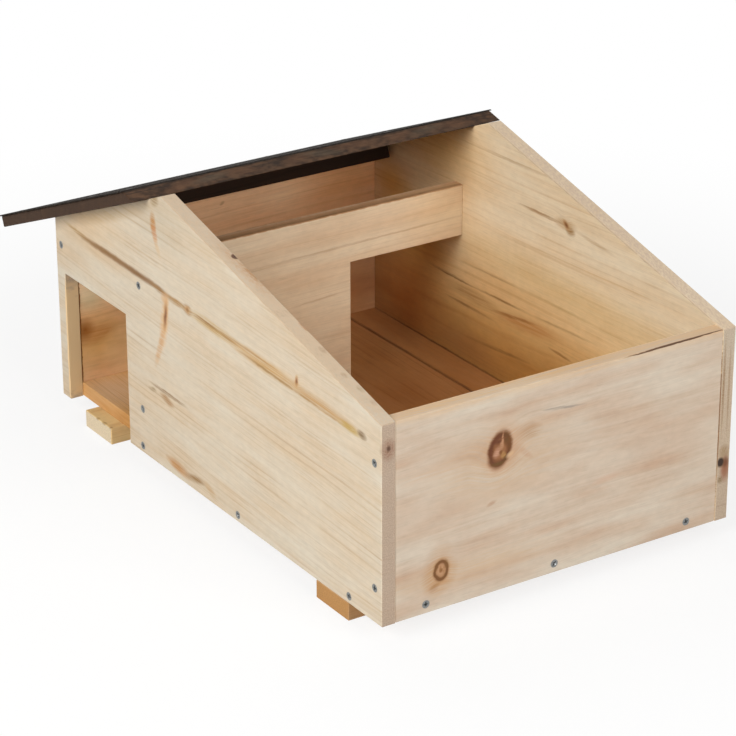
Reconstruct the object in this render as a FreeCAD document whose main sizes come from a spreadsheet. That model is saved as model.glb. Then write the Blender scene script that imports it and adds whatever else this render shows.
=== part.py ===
# Hedgehog house: a softwood box under an off-centre ridge, with an entrance in its left side,
# a partition that makes a corridor behind the nest chamber, and a rear roof that lifts off.
import FreeCAD, Part
import os
import re
import Sketcher

# Driving sizes in millimetres. Depths are counted from the front face towards the back,
# heights from the underside of the side panels, which stand on the two feet.
SIZES = {
    "house_width": ("340", "outside, over both side panels"),
    "house_depth": ("520", "outside, front face to rear face"),
    "front_height": ("171", "side panels and front wall at the front"),
    "ridge_height": ("250", "peak of the side panels"),
    "rear_height": ("170", "side panels and rear wall at the back"),
    "ridge_from_front": ("326", "front face to the peak"),
    "wall": ("13", "boards of the side panels, front wall and rear wall"),
    "arris": ("0.6", "eased edges of every board"),
    "floor_thickness": ("13", "floor boards"),
    "floor_strip": ("34", "narrow floor board at the right"),
    "floor_gap": ("0.8", "open joint between floor boards"),
    "entrance_width": ("110", "opening in the left side panel, along the depth"),
    "entrance_height": ("121", "opening, from the underside of the panel"),
    "rear_jamb": ("14", "left side panel left standing behind the entrance"),
    "partition_thickness": ("13", "partition board"),
    "partition_height": ("181", "top of the partition"),
    "partition_setback": ("18.5", "partition's rear face to the entrance's front edge"),
    "doorway_width": ("119", "inner doorway, from the right side panel"),
    "doorway_height": ("120", "inner doorway, above the floor"),
    "foot_thickness": ("16", "feet under the floor"),
    "foot_width": ("47", "feet, along the depth"),
    "front_foot_inset": ("47", "front face to the front foot"),
    "rear_foot_inset": ("42", "rear face to the rear foot"),
    "roof_width": ("370", "rear roof board, across the house"),
    "roof_length": ("265", "rear roof board, down the slope along its underside"),
    "roof_thickness": ("10", "rear roof board"),
    "roof_setback": ("23", "peak to the roof board's lower edge, down the slope"),
    "felt_thickness": ("1.2", "roofing felt"),
    "felt_eave": ("8", "felt past the roof board at the eave"),
    "felt_side": ("2", "felt past the roof board at each side"),
    "cleat_width": ("30", "locating cleat, down the slope"),
    "cleat_thickness": ("13", "locating cleat"),
    "cleat_play": ("1.5", "cleat to the rear wall that it drops in front of"),
    "cleat_side_play": ("5.5", "cleat's ends to the side panels"),
    "screw_diameter": ("3.5", "shank of the wall and foot screws"),
    "screw_head": ("7", "countersunk head of the wall and foot screws"),
    "screw_length": ("35", "wall screws"),
    "foot_screw_length": ("25", "foot screws"),
    "cleat_screw_diameter": ("3", "shank of the cleat screws"),
    "cleat_screw_head": ("6", "countersunk head of the cleat screws"),
    "cleat_screw_length": ("20", "cleat screws"),
    "screw_point": ("5", "tapered point of every screw"),
    "blunt_tip": ("0.4", "radius at the tip of every screw and tack"),
    "screw_fit": ("0.1", "screw or tack to its bore, all round"),
    "cleat_screw_inset": ("31", "outer cleat screws to the cleat's ends"),
    "tack_head": ("8", "flat head of the felt tacks"),
    "tack_head_thickness": ("0.8", "flat head of the felt tacks"),
    "tack_diameter": ("2", "shank of the felt tacks"),
    "tack_length": ("9", "felt tacks, under the head"),
    "tack_margin": ("14", "tacks to the roof board's edges"),
    "corner_screw_inset": ("3.5", "inner face of a front or rear wall to the screws in its ends"),
    "corner_screw_low": ("30", "lower screw in the ends of the front and rear walls"),
    "corner_screw_high": ("35", "upper screw, down from the front height"),
    "rear_screw_high": ("23", "upper screw, down from the rear height"),
    "rail_screw_drop": ("25", "upper partition screws, down from the partition's top"),
    "partition_screw_rise": ("29", "lower partition screw, above the floor"),
    "floor_screw_front": ("46", "first screw in the floor's sides, from the front"),
    "floor_screw_middle": ("214", "second screw in the floor's sides, from the front"),
    "floor_screw_rear": ("147", "third screw in the floor's sides, from the rear"),
    "floor_end_rise": ("8", "screws in the floor's ends, height"),
    "floor_end_left": ("41", "screws in the floor's ends, from the left face"),
    "floor_end_middle": ("6", "screws in the floor's ends, left of the middle"),
    "floor_end_right": ("43", "screws in the floor's ends, from the right face"),
}

doc = FreeCAD.newDocument("hedgehog_house")
sheet = doc.addObject("Spreadsheet::Sheet", "Dims")
for row, (alias, (number, meaning)) in enumerate(SIZES.items(), start=1):
    sheet.set(f"A{row}", meaning)
    sheet.set(f"B{row}", number)
    sheet.setAlias(f"B{row}", alias)
doc.recompute()

# Formulas that several pieces share. The part stands on the middle of its own bounding box,
# so the front face lies half of the roof's reach in front of the origin.
INNER_WIDTH = "(house_width - 2 * wall)"
REAR_SLOPE = "atan((ridge_height - rear_height) / (house_depth - ridge_from_front))"
FRONT_SLOPE = "atan((ridge_height - front_height) / ridge_from_front)"
BEVEL = f"tan({REAR_SLOPE} + {FRONT_SLOPE})"
EAVE = "(roof_setback + roof_length)"
FELT_TOP = "(roof_thickness + felt_thickness)"
REACH = (f"(ridge_from_front + ({EAVE} + felt_eave) * cos({REAR_SLOPE})"
         f" + {FELT_TOP} * sin({REAR_SLOPE}))")
FRONT = f"(-{REACH} / 2)"
ENTRANCE_FRONT = "(house_depth - rear_jamb - entrance_width)"
PARTITION_FRONT = f"({ENTRANCE_FRONT} - partition_setback - partition_thickness)"
FLOOR_BOARD = f"(({INNER_WIDTH} - floor_strip - 2 * floor_gap) / 2)"
FLOOR_BOARDS = {
    "floor_board_left": (f"-{INNER_WIDTH} / 2", FLOOR_BOARD, ["left_side_screws"]),
    "floor_board_middle": (f"-{INNER_WIDTH} / 2 + {FLOOR_BOARD} + floor_gap", FLOOR_BOARD, []),
    "floor_board_right": (f"{INNER_WIDTH} / 2 - floor_strip", "floor_strip", ["right_side_screws"]),
}
CLEAT_REAR = f"((house_depth - wall - cleat_play - ridge_from_front) / cos({REAR_SLOPE}))"
CLEAT_LENGTH = f"({INNER_WIDTH} - 2 * cleat_side_play)"
UP = "foot_thickness"
PAST_FACE = "1"
FASTENER_SIDES = 12


def bound(formula):
    """Point each size word in a formula at its cell of the sheet."""
    return re.sub(r"[a-z_]+", lambda word: ("Dims." if word[0] in SIZES else "") + word[0], formula)


def value(formula):
    """Present value of a formula, in millimetres or degrees."""
    result = sheet.evalExpression(bound(formula))
    return float(getattr(result, "Value", result))


def place(piece, x, y, z, axis=(1, 0, 0), angle="0"):
    """Bind a piece's place: x from the middle, y from the front face, z from the ground."""
    turn = FreeCAD.Rotation(FreeCAD.Vector(axis), value(angle))
    piece.Placement = FreeCAD.Placement(FreeCAD.Vector(), turn)
    piece.setExpression(".Placement.Base.x", bound(x))
    piece.setExpression(".Placement.Base.y", bound(f"{FRONT} + {y}"))
    piece.setExpression(".Placement.Base.z", bound(z))
    if "atan" in angle:
        piece.setExpression(".Placement.Rotation.Angle", bound(angle))


def sketch_on(body, role, corners):
    """Closed outline on one of a body's origin planes, every corner bound to two formulas."""
    sketch = body.newObject("Sketcher::SketchObject", body.Name + "_outline")
    plane = next(feature for feature in body.Origin.OriginFeatures if feature.Role == role)
    sketch.AttachmentSupport = [(plane, "")]
    sketch.MapMode = "FlatFace"
    points = [FreeCAD.Vector(value(across), value(up), 0) for across, up in corners]
    for start, end in zip(points, points[1:] + points[:1]):
        sketch.addGeometry(Part.LineSegment(start, end), False)
    for index, (across, up) in enumerate(corners):
        before = (index - 1) % len(corners)
        sketch.addConstraint(Sketcher.Constraint("Coincident", before, 2, index, 1))
        for kind, axis, formula in (("DistanceX", -2, across), ("DistanceY", -1, up)):
            if formula == "0":
                sketch.addConstraint(Sketcher.Constraint("PointOnObject", index, 1, axis))
                continue
            number = sketch.addConstraint(Sketcher.Constraint(kind, -1, 1, index, 1, value(formula)))
            sketch.setExpression(f"Constraints[{number}]", bound(formula))
    return sketch


def drawn_out(name, role, corners, length):
    """A body drawn out from its section: along X from the YZ plane, along Y from the XZ plane."""
    body = doc.addObject("PartDesign::Body", name + "_blank")
    pad = body.newObject("PartDesign::Pad", name + "_pad")
    pad.Profile = sketch_on(body, role, corners)
    pad.Reversed = role == "XZ_Plane"
    pad.setExpression("Length", bound(length))
    return body


def board(name, role, corners, length):
    """A sawn board with eased arrises; a board cut to an outline is eased round its two faces only."""
    body = drawn_out(name, role, corners, length)
    doc.recompute()
    pad = body.Tip
    drawn = FreeCAD.Vector(1, 0, 0) if role == "YZ_Plane" else FreeCAD.Vector(0, 1, 0)
    edges = []
    for index, edge in enumerate(pad.Shape.Edges, start=1):
        across_thickness = abs(edge.tangentAt(edge.FirstParameter).dot(drawn)) > 0.5
        if len(corners) == 4 or not across_thickness:
            edges.append(f"Edge{index}")
    eased = body.newObject("PartDesign::Chamfer", name + "_eased")
    eased.Base = (pad, edges)
    eased.setExpression("Size", bound("arris"))
    return body


def spindle(name, rings):
    """A many-sided pin along Z through rings of radius and height, for the small fasteners."""
    sections = []
    for radius, height in rings:
        ring = doc.addObject("Part::RegularPolygon", name + "_ring")
        ring.Polygon = FASTENER_SIDES
        ring.setExpression("Circumradius", bound(radius))
        ring.setExpression(".Placement.Base.z", bound(height))
        sections.append(ring)
    pin = doc.addObject("Part::Loft", name)
    pin.Sections = sections
    pin.Solid = True
    pin.Ruled = True
    return pin


def screw(name, diameter, head, length):
    """A countersunk screw with its head flush at height 0, and the bore that it is driven into."""
    shank = f"{diameter} / 2"
    sink = f"-({head} - {diameter}) / 2"
    point = f"-({length} - screw_point)"
    solid = spindle(name, [(f"{head} / 2", "0"), (shank, sink), (shank, point), ("blunt_tip", f"-{length}")])
    bore = spindle(name + "_bore", [(f"{head} / 2 + screw_fit", PAST_FACE), (f"{head} / 2 + screw_fit", "0"),
                                    (f"{shank} + screw_fit", sink), (f"{shank} + screw_fit", point),
                                    ("blunt_tip + screw_fit", f"-({length} + screw_fit)")])
    return solid, bore


def group(name, template, places):
    """Copies of one template, each at its own bound place."""
    copies = []
    for index, spot in enumerate(places, start=1):
        copy = doc.addObject("App::Link", f"{name}_{index}")
        copy.LinkedObject = template
        place(copy, *spot)
        copies.append(copy)
    compound = doc.addObject("Part::Compound", name)
    compound.Links = copies
    return compound


def on_slope(along, above):
    """Depth and height of a point on the rear slope: along it from the peak, and square above it."""
    depth = f"ridge_from_front + ({along}) * cos({REAR_SLOPE}) + ({above}) * sin({REAR_SLOPE})"
    height = f"{UP} + ridge_height - ({along}) * sin({REAR_SLOPE}) + ({above}) * cos({REAR_SLOPE})"
    return depth, height


# Places of the fasteners, each with the turn that points it into the wood.
INTO_RIGHT = ((0, 1, 0), "-90")
INTO_LEFT = ((0, 1, 0), "90")
INTO_REAR = ((1, 0, 0), "90")
INTO_FRONT = ((1, 0, 0), "-90")
UPWARDS = ((1, 0, 0), "180")
IN_FRONT_WALL = "wall - corner_screw_inset"
IN_REAR_WALL = "house_depth - wall + corner_screw_inset"
IN_PARTITION = f"{PARTITION_FRONT} + partition_thickness / 2"
front_corner = [(IN_FRONT_WALL, f"{UP} + corner_screw_low"),
                (IN_FRONT_WALL, f"{UP} + front_height - corner_screw_high")]
rear_corner_high = [(IN_REAR_WALL, f"{UP} + rear_height - rear_screw_high")]
rear_corner_low = [(IN_REAR_WALL, f"{UP} + corner_screw_low")]
rail = [(IN_PARTITION, f"{UP} + partition_height - rail_screw_drop")]
partition_foot = [(IN_PARTITION, f"{UP} + floor_thickness + partition_screw_rise")]
floor_sides = []
for depth in ("floor_screw_front", "floor_screw_middle", "house_depth - floor_screw_rear"):
    floor_sides.append((depth, f"{UP} + floor_thickness / 2"))
left_spots = front_corner + rear_corner_high + rail + partition_foot + floor_sides
right_spots = front_corner + rear_corner_high + rear_corner_low + rail + floor_sides
floor_end_spots = ("-house_width / 2 + floor_end_left", "-floor_end_middle",
                   "house_width / 2 - floor_end_right")
foot_spots = [f"{left_edge} + {width} / 2" for left_edge, width, screws in FLOOR_BOARDS.values()]
FRONT_FOOT_MIDDLE = "front_foot_inset + foot_width / 2"
REAR_FOOT_MIDDLE = "house_depth - rear_foot_inset - foot_width / 2"

wall_screw_places = {
    "left_side_screws": [("-house_width / 2", *spot, *INTO_RIGHT) for spot in left_spots],
    "right_side_screws": [("house_width / 2", *spot, *INTO_LEFT) for spot in right_spots],
    "front_wall_screws": [(x, "0", f"{UP} + floor_end_rise", *INTO_REAR) for x in floor_end_spots],
    "rear_wall_screws": [(x, "house_depth", f"{UP} + floor_end_rise", *INTO_FRONT) for x in floor_end_spots],
}
foot_screw_places = {
    "front_foot_screws": [(x, FRONT_FOOT_MIDDLE, "0", *UPWARDS) for x in foot_spots],
    "rear_foot_screws": [(x, REAR_FOOT_MIDDLE, "0", *UPWARDS) for x in foot_spots],
}

# The roof's own fasteners. Three screws come up through the cleat; tacks run round the felt's edge.
OUTER_CLEAT_SCREW = f"({CLEAT_LENGTH} / 2 - cleat_screw_inset)"
cleat_spot = on_slope(f"{CLEAT_REAR} - cleat_width / 2", "-cleat_thickness")
cleat_screw_places = []
for across in (f"-{OUTER_CLEAT_SCREW}", "0", OUTER_CLEAT_SCREW):
    cleat_screw_places.append((across, *cleat_spot, (1, 0, 0), f"180 deg - {REAR_SLOPE}"))
TACK_COLUMNS = 5
TACK_ROWS = 4
TACK_SPAN = "(roof_width - 2 * tack_margin)"
FIRST_TACK_ROW = f"(roof_setback + {FELT_TOP} / {BEVEL} + tack_margin)"
LAST_TACK_ROW = f"({EAVE} - tack_margin)"
tack_places = []
for row in range(TACK_ROWS):
    along = f"{FIRST_TACK_ROW} + {row} / {TACK_ROWS - 1} * ({LAST_TACK_ROW} - {FIRST_TACK_ROW})"
    inner_row = 0 < row < TACK_ROWS - 1
    for column in range(0, TACK_COLUMNS, TACK_COLUMNS - 1 if inner_row else 1):
        across = f"({column} / {TACK_COLUMNS - 1} - 1 / 2) * {TACK_SPAN}"
        tack_places.append((across, *on_slope(along, FELT_TOP), (1, 0, 0), f"-{REAR_SLOPE}"))

wall_screw, wall_screw_bore = screw("wall_screw", "screw_diameter", "screw_head", "screw_length")
foot_screw, foot_screw_bore = screw("foot_screw", "screw_diameter", "screw_head", "foot_screw_length")
cleat_screw, cleat_screw_bore = screw("cleat_screw", "cleat_screw_diameter", "cleat_screw_head",
                                      "cleat_screw_length")
TACK_SHANK = "tack_diameter / 2"
TACK_POINT = "-(tack_length - tack_diameter)"
tack = doc.addObject("Part::Fuse", "tack")
tack.Base = spindle("tack_flat", [("tack_head / 2", "tack_head_thickness"), ("tack_head / 2", "0")])
tack.Tool = spindle("tack_shank", [(TACK_SHANK, "0"), (TACK_SHANK, TACK_POINT),
                                   ("blunt_tip", "-tack_length")])
tack_bore = spindle("tack_bore", [(f"{TACK_SHANK} + screw_fit", PAST_FACE),
                                  (f"{TACK_SHANK} + screw_fit", TACK_POINT),
                                  ("blunt_tip + screw_fit", "-(tack_length + screw_fit)")])

nodes = []
bores = {}
for places, solid, bore in ((wall_screw_places, wall_screw, wall_screw_bore),
                            (foot_screw_places, foot_screw, foot_screw_bore),
                            ({"cleat_screws": cleat_screw_places}, cleat_screw, cleat_screw_bore),
                            ({"felt_tacks": tack_places}, tack, tack_bore)):
    for name, spots in places.items():
        nodes.append(group(name, solid, spots))
        bores[name] = group(name + "_bores", bore, spots)


def drilled(name, blank, fasteners):
    """The finished board: its blank with the bores of the fasteners that run into it."""
    tools = doc.addObject("Part::Compound", name + "_bores")
    tools.Links = [bores[fastener] for fastener in fasteners]
    piece = doc.addObject("Part::Cut", name)
    piece.Base = blank
    piece.Tool = tools
    nodes.append(piece)


# Side panels: one convex outline for both, notched for the entrance on the left.
panel = [("house_depth", "rear_height"), ("ridge_from_front", "ridge_height"), ("0", "front_height"),
         ("0", "0")]
notch = [(ENTRANCE_FRONT, "0"), (ENTRANCE_FRONT, "entrance_height"),
         ("house_depth - rear_jamb", "entrance_height"), ("house_depth - rear_jamb", "0")]
left_panel = board("left_side_panel", "YZ_Plane", panel + notch + [("house_depth", "0")], "wall")
place(left_panel, "-house_width / 2", "0", UP)
drilled("left_side_panel", left_panel, ["left_side_screws"])
right_panel = board("right_side_panel", "YZ_Plane", panel + [("house_depth", "0")], "wall")
place(right_panel, "house_width / 2 - wall", "0", UP)
drilled("right_side_panel", right_panel, ["right_side_screws"])

# Front wall, square on top, and rear wall, bevelled on top to the rear slope, between the panels.
SIDE_SCREWS = ["left_side_screws", "right_side_screws"]
front_wall = board("front_wall", "YZ_Plane",
                   [("0", "0"), ("wall", "0"), ("wall", "front_height"), ("0", "front_height")], INNER_WIDTH)
place(front_wall, f"-{INNER_WIDTH} / 2", "0", UP)
drilled("front_wall", front_wall, SIDE_SCREWS + ["front_wall_screws"])
rear_wall = board("rear_wall", "YZ_Plane",
                  [("house_depth - wall", "0"), ("house_depth", "0"), ("house_depth", "rear_height"),
                   ("house_depth - wall", f"rear_height + wall * tan({REAR_SLOPE})")], INNER_WIDTH)
place(rear_wall, f"-{INNER_WIDTH} / 2", "0", UP)
drilled("rear_wall", rear_wall, SIDE_SCREWS + ["rear_wall_screws"])

# Floor: two boards of one width and a narrow one at the right, laid from front wall to rear wall.
floor_section = [("wall", "0"), ("house_depth - wall", "0"), ("house_depth - wall", "floor_thickness"),
                 ("wall", "floor_thickness")]
floor_screws = ["front_wall_screws", "rear_wall_screws", *foot_screw_places]
for name, (left_edge, width, side_screws) in FLOOR_BOARDS.items():
    blank = board(name, "YZ_Plane", floor_section, width)
    place(blank, left_edge, "0", UP)
    drilled(name, blank, floor_screws + side_screws)

# Partition: one board on the floor with the inner doorway cut out of its right lower corner.
DOORWAY_EDGE = f"{INNER_WIDTH} - doorway_width"
DOORWAY_TOP = "floor_thickness + doorway_height"
partition = board("partition", "XZ_Plane",
                  [("0", "floor_thickness"), (DOORWAY_EDGE, "floor_thickness"), (DOORWAY_EDGE, DOORWAY_TOP),
                   (INNER_WIDTH, DOORWAY_TOP), (INNER_WIDTH, "partition_height"), ("0", "partition_height")],
                  "partition_thickness")
place(partition, f"-{INNER_WIDTH} / 2", PARTITION_FRONT, UP)
drilled("partition", partition, SIDE_SCREWS)

# Feet: two flat battens across the underside, flush with the side panels.
foot_depths = {"front_foot": "front_foot_inset", "rear_foot": "(house_depth - rear_foot_inset - foot_width)"}
foot_section = [("0", "0"), ("foot_width", "0"), ("foot_width", "foot_thickness"), ("0", "foot_thickness")]
for name, depth in foot_depths.items():
    blank = board(name, "YZ_Plane", foot_section, "house_width")
    place(blank, "-house_width / 2", depth, "0")
    drilled(name, blank, [name + "_screws"])

# Rear roof: board, felt and cleat drawn flat along the slope, then leant back from the peak.
# The board's upper edge is bevelled parallel to the front slope, and the felt is cut off along it.
BEVEL_TOP = f"roof_setback + roof_thickness / {BEVEL}"
roof_sections = {
    "roof_board": ("roof_width", ["cleat_screws", "felt_tacks"],
                   [("roof_setback", "0"), (EAVE, "0"), (EAVE, "roof_thickness"),
                    (BEVEL_TOP, "roof_thickness")]),
    "roof_felt": ("(roof_width + 2 * felt_side)", ["felt_tacks"],
                  [(BEVEL_TOP, "roof_thickness"), (f"{EAVE} + felt_eave", "roof_thickness"),
                   (f"{EAVE} + felt_eave", FELT_TOP), (f"roof_setback + {FELT_TOP} / {BEVEL}", FELT_TOP)]),
    "roof_cleat": (CLEAT_LENGTH, ["cleat_screws"],
                   [(f"{CLEAT_REAR} - cleat_width", "-cleat_thickness"), (CLEAT_REAR, "-cleat_thickness"),
                    (CLEAT_REAR, "0"), (f"{CLEAT_REAR} - cleat_width", "0")]),
}
for name, (width, fasteners, section) in roof_sections.items():
    make = drawn_out if name == "roof_felt" else board
    blank = make(name, "YZ_Plane", section, width)
    place(blank, f"-{width} / 2", "ridge_from_front", f"{UP} + ridge_height", (1, 0, 0), f"-{REAR_SLOPE}")
    drilled(name, blank, fasteners)

doc.recompute()
for thing in doc.Objects:
    if "Invalid" in thing.State or "Error" in thing.State:
        raise RuntimeError(f"{thing.Name} failed: {thing.State}")
for node in nodes:
    if node.Shape.isNull() or not node.Shape.isValid():
        raise RuntimeError(f"{node.Label} has no valid shape")
os.makedirs("parts", exist_ok=True)
for node in nodes:
    node.Shape.exportStep(f"parts/{node.Label}.step")
    print(node.Label, len(node.Shape.Solids), round(node.Shape.Volume))
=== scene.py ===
# A hedgehog house of planed softwood, dressed in the order in which it is put together.
import math

import bmesh
import bpy
from mathutils import Matrix, Vector


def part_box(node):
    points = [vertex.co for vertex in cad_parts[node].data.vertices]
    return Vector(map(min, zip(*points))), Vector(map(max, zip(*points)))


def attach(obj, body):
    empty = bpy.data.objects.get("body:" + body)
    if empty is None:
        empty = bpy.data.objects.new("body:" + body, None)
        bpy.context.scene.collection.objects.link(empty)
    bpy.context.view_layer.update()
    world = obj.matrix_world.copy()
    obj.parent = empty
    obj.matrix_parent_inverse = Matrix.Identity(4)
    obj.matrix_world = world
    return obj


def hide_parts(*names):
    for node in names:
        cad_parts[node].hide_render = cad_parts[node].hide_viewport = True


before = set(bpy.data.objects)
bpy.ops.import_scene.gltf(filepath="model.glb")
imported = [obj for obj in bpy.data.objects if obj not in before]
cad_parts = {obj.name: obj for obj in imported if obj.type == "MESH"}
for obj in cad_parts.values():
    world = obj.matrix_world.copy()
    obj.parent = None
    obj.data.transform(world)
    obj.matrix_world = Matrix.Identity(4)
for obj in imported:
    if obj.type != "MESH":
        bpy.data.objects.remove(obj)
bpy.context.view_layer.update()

MM = 0.001
ENDLESS = 1e5
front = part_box("front_wall")[0].y
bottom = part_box("left_side_panel")[0].z


def linear(colour):
    """An sRGB hex colour as linear red, green, blue and an alpha of 1."""
    levels = [int(colour[i:i + 2], 16) / 255 for i in (1, 3, 5)]
    return [level / 12.92 if level <= 0.04045 else ((level + 0.055) / 1.055) ** 2.4
            for level in levels] + [1.0]


def put(tree, kind, inputs, **settings):
    """Add a node with its settings; an input is a value or the socket that feeds it.

    A Mix of colours takes its share at 0 and its colours at 6 and 7, and gives the result at 2.
    """
    made = tree.nodes.new(kind)
    for name, setting in settings.items():
        setattr(made, name, setting)
    for key, given in inputs.items():
        if isinstance(given, bpy.types.NodeSocket):
            tree.links.new(given, made.inputs[key])
        else:
            made.inputs[key].default_value = given
    return made


def blank(name):
    """A new material, with its node tree, its shader and the coordinates of the piece that wears it."""
    material = bpy.data.materials.new(name)
    material.use_nodes = True
    tree = material.node_tree
    return material, tree, tree.nodes["Principled BSDF"], put(tree, "ShaderNodeTexCoord", {})


def soft(colour, cover):
    """The look of a stain, streak or painted shade, strongest in its middle: stops of place, colour and
    cover.
    """
    return (0.0, colour, cover), (0.45, colour, 0.8 * cover), (1.0, colour, 0.0)


def solid(colour):
    """The look of an even patch with a narrow soft rim."""
    return (0.0, colour, 1.0), (0.75, colour, 1.0), (1.0, colour, 0.0)


def pine(name, order, pith, lean, tones, marks=(), shade_tints=(),
         ring=4.0, wander=9.0, line=0.5, mottle=0.025, gloss=0.5):
    """Planed softwood: growth rings round the tree's heart, fibres along it, knots, and darker end grain.

    order gives the house axes along the grain, across the board and through it. Lengths are in mm, from the
    middle of the house, the face of the front wall and the lower edge of the panels.
    The heart is at pith, across and through, and leans by so much for each mm along.
    tones are the pale early wood, the late wood, the flush of broad clouds and the end grain.
    A mark is a look, a place along and across, two half lengths, a turn in degrees and a bulge of the rings.
    A tint is a colour that deepens the wood round a place, as painted shade and the colour of bounced light,
    and fades out over its half lengths.
    A third number in a place and its half lengths keeps a mark to one depth; else it goes right through.
    ring is the width of the rings, wander how far they drift, and line how strongly the late wood shows.
    mottle is the strength of small blotches, and gloss the level of the reflections.
    """
    material, tree, shader, spot = blank(name)
    pale, late, blush, end = [linear(tone) for tone in tones]
    house = put(tree, "ShaderNodeMapping", {"Vector": spot.outputs["Object"], "Scale": [1 / MM] * 3,
                                            "Location": (0, -front / MM, -bottom / MM)})
    axes = put(tree, "ShaderNodeSeparateXYZ", {0: house.outputs[0]})
    along, across, through = [axes.outputs["xyz".index(axis)] for axis in order]
    wood = put(tree, "ShaderNodeCombineXYZ", {0: along, 1: across, 2: through}).outputs[0]

    def away(start, place, half, turn=0):
        """The distance from a place, counted in the half lengths of what lies there."""
        local = put(tree, "ShaderNodeMapping", {"Vector": start, "Location": (*place, 0)[:3],
                                                "Rotation": (0, 0, math.radians(turn)),
                                                "Scale": (*half, ENDLESS)[:3]}, vector_type="TEXTURE")
        return put(tree, "ShaderNodeVectorMath", {0: local.outputs[0]}, operation="LENGTH").outputs["Value"]

    # Patterns in the wood, each with its size in mm along, across and through.
    patterns = {}
    for pattern, size in (("drift", (260, 60, 60)), ("ragged", (8, 5, 8)), ("pores", (5, 1.1, 1.1)),
                          ("patch", (70, 22, 40)), ("fleck", (14, 0.9, 1.2))):
        spread = put(tree, "ShaderNodeMapping", {"Vector": wood, "Scale": [1 / length for length in size]})
        patterns[pattern] = put(tree, "ShaderNodeTexNoise", {"Vector": spread.outputs[0], "Scale": 1.0,
                                                             "Detail": 2.0})

    # Rings: the distance from the heart, which drifts a little, and swells round each knot.
    heart = put(tree, "ShaderNodeVectorMath", {0: along, 1: (0, *lean), 2: (0, *pith)},
                operation="MULTIPLY_ADD")
    trunk = put(tree, "ShaderNodeVectorMath", {0: wood, 1: heart.outputs[0]}, operation="SUBTRACT")
    fray = (2.2, 1.6, 0)
    moved = {}
    for pattern, reach, start in (("drift", (0, wander, wander), trunk.outputs[0]), ("ragged", fray, wood)):
        centred = put(tree, "ShaderNodeVectorMath", {0: patterns[pattern].outputs["Color"],
                                                     1: (0.5, 0.5, 0.5)}, operation="SUBTRACT")
        moved[pattern] = put(tree, "ShaderNodeVectorMath", {0: centred.outputs[0], 1: reach, 2: start},
                             operation="MULTIPLY_ADD").outputs[0]
    from_heart = put(tree, "ShaderNodeVectorMath", {0: moved["drift"], 1: (0, 1, 1)}, operation="MULTIPLY")
    radius = put(tree, "ShaderNodeVectorMath", {0: from_heart.outputs[0]},
                 operation="LENGTH").outputs["Value"]

    # Marks: a ramp of colours from the middle out, past the half lengths for a knot's halo.
    # A look that doesn't quite cover its middle is broken up by the fibres.
    look_reach, swell_reach = 2.0, 3.0
    ramps = []
    for look, place, half, turn, bulge in marks:
        far = away(moved["ragged"], place, half, turn)
        if bulge:
            swell = put(tree, "ShaderNodeMapRange", {"Value": far, "From Min": 0.0, "From Max": swell_reach,
                                                     "To Min": bulge, "To Max": 0.0},
                        interpolation_type="SMOOTHSTEP")
            radius = put(tree, "ShaderNodeMath", {0: radius, 1: swell.outputs[0]}, operation="ADD").outputs[0]
        share = put(tree, "ShaderNodeMath", {0: far, 1: look_reach}, operation="DIVIDE")
        ramp = put(tree, "ShaderNodeValToRGB", {0: share.outputs[0]})
        while len(ramp.color_ramp.elements) < len(look):
            ramp.color_ramp.elements.new(1.0)
        for element, (stop, colour, cover) in zip(ramp.color_ramp.elements, look):
            element.position = stop / look_reach
            element.color = (*linear(colour)[:3], cover)
        fibrous = look[0][2] < 1
        ramps.append((ramp, fibrous))
    ringed = put(tree, "ShaderNodeMath", {0: radius, 1: ring}, operation="DIVIDE")
    rings = put(tree, "ShaderNodeTexNoise", {"W": ringed.outputs[0], "Scale": 1.0, "Detail": 3.0,
                                             "Roughness": 0.65}, noise_dimensions="1D")
    faint = put(tree, "ShaderNodeMapRange", {"Value": patterns["patch"].outputs[0], "From Min": 0.36,
                                             "From Max": 0.64, "To Min": 0.25 * line, "To Max": 1.3 * line})
    latewood = put(tree, "ShaderNodeMapRange", {"Value": rings.outputs[0], "From Min": 0.44, "From Max": 0.8,
                                                "To Min": 0.0, "To Max": faint.outputs[0]},
                   interpolation_type="SMOOTHSTEP")

    # Fibres and broad clouds of colour follow the rings, and short resin flecks lie along the face.
    flow = put(tree, "ShaderNodeCombineXYZ", {0: along, 1: radius, 2: through})
    for pattern, size in (("fibre", (45, 0.9, 1.5)), ("cloud", (260, 17, 40))):
        spread = put(tree, "ShaderNodeMapping", {"Vector": flow.outputs[0],
                                                 "Scale": [1 / length for length in size]})
        patterns[pattern] = put(tree, "ShaderNodeTexNoise", {"Vector": spread.outputs[0], "Scale": 1.0,
                                                             "Detail": 3.0})
    shades = {}
    for shade, pattern, low, high, least, most in (
            ("fibre", "fibre", 0.25, 0.75, 0.94, 1.05),
            ("fleck", "fleck", 0.57, 0.7, 1.0, 0.92),
            ("cloud", "cloud", 0.38, 0.66, 0.0, 0.7),
            ("patch", "patch", 0.4, 0.7, 0.0, 0.45),
            ("pores", "pores", 0.3, 0.7, 0.78, 1.16),
            ("broken", "fibre", 0.34, 0.62, 0.4, 1.25),
            ("mottle", "ragged", 0.36, 0.64, 1 - mottle, 1 + mottle)):
        shades[shade] = put(tree, "ShaderNodeMapRange", {"Value": patterns[pattern].outputs[0],
                                                         "From Min": low, "From Max": high,
                                                         "To Min": least, "To Max": most}).outputs[0]
    flush = put(tree, "ShaderNodeMath", {0: shades["cloud"], 1: shades["patch"]}, operation="ADD")
    body = put(tree, "ShaderNodeMix", {0: flush.outputs[0], 6: pale, 7: blush}, data_type="RGBA")
    lined = put(tree, "ShaderNodeMix", {0: latewood.outputs[0], 6: body.outputs[2], 7: late},
                data_type="RGBA")
    shade = put(tree, "ShaderNodeMath", {0: shades["fibre"], 1: shades["fleck"]}, operation="MULTIPLY")
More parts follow.
